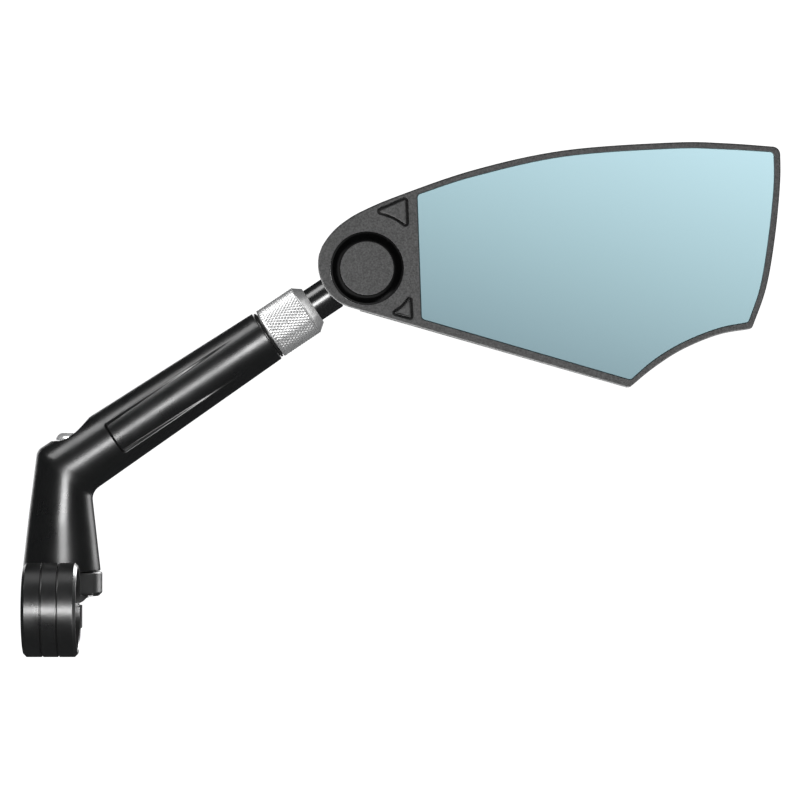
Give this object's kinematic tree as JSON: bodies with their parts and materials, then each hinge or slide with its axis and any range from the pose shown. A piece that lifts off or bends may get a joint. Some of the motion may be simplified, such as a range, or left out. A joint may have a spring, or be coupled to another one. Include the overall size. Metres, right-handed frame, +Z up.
{
  "type": "bike mirror",
  "caption": "Handlebar bike mirror: split clamp ring, elbow arm with a twist-lock telescopic stem, and a blade-shaped tinted mirror on a ball joint.",
  "frame": {"origin": "centre of the clamp ring's bore, on the handlebar's axis", "axes": "+X along the handlebar towards the mirror, +Y away from the rider, +Z up; the mirror faces -Y"},
  "size_m": [0.2122, 0.0467, 0.143],
  "materials": {
    "black_anodised": "satin black anodised",
    "silver_aluminium": "bright turned and knurled",
    "bright_steel": "zinc plated",
    "black_gloss_metal": "polished black",
    "grey_plastic": "fine spark texture",
    "black_gloss_plastic": "gloss black",
    "nylon": "natural moulded nylon",
    "tinted_mirror": "blue tinted glass, silvered behind, ground edge",
    "foam_tape": "matt foam tape",
    "seal_rubber": "matt rubber"
  },
  "bodies": {
    "clamp": {"clamp_ring": "black_anodised"},
    "clamp_bolt": {"clamp_bolt": "bright_steel"},
    "arm": {"arm_casting": "black_anodised", "bolt_washer": "bright_steel", "swivel_washer": "nylon", "tube_seal": "seal_rubber", "collet": "nylon"},
    "lock_collar": {"lock_collar": "silver_aluminium"},
    "guide_bush": {"guide_bush": "nylon"},
    "stem": {"extension_rod": "black_gloss_metal", "bush_screw": "bright_steel", "ball_stud": "bright_steel"},
    "ball_seats": {"seat_front": "nylon", "seat_rear": "nylon"},
    "mirror_head": {"front_bezel": "grey_plastic", "rear_shell": "grey_plastic", "mirror_glass": "tinted_mirror", "adhesive_pad": "foam_tape", "tension_ring": "black_gloss_plastic", "pivot_cap": "grey_plastic", "wave_spring": "bright_steel", "upper_cover": "grey_plastic", "lower_cover": "grey_plastic", "upper_cover_screw": "bright_steel", "lower_cover_screw": "bright_steel"}
  },
  "joints": [
    {"name": "clamp_bolt_turn", "type": "hinge", "parent": "clamp", "child": "clamp_bolt", "pos_m": [0.0039, 0.0228, 0], "axis": [0, 0, 1], "range_deg": [0, 360]},
    {"name": "arm_swivel", "type": "hinge", "parent": "clamp", "child": "arm", "pos_m": [0.0039, 0.0228, 0.0097], "axis": [0, 0, 1], "continuous": true},
    {"name": "collar_turn", "type": "hinge", "parent": "arm", "child": "lock_collar", "pos_m": [0.06583, 0.0228, 0.0805], "axis": [0.8316, 0, 0.5554], "range_deg": [0, 120]},
    {"name": "stem_extension", "type": "slide", "parent": "arm", "child": "guide_bush", "axis": [0.8316, 0, 0.5554], "range_m": [0, 0.03]},
    {"name": "stem_spin", "type": "hinge", "parent": "guide_bush", "child": "stem", "pos_m": [0.06583, 0.0228, 0.0805], "axis": [0.8316, 0, 0.5554], "continuous": true},
    {"name": "mirror_fold", "type": "hinge", "parent": "stem", "child": "ball_seats", "pos_m": [0.0872, 0.0228, 0.09477], "axis": [-0.5554, 0, 0.8316], "range_deg": [-12, 30]},
    {"name": "mirror_roll", "type": "hinge", "parent": "ball_seats", "child": "mirror_head", "pos_m": [0.0872, 0.0228, 0.09477], "axis": [0, 1, 0], "range_deg": [-20, 20]}
  ]
}
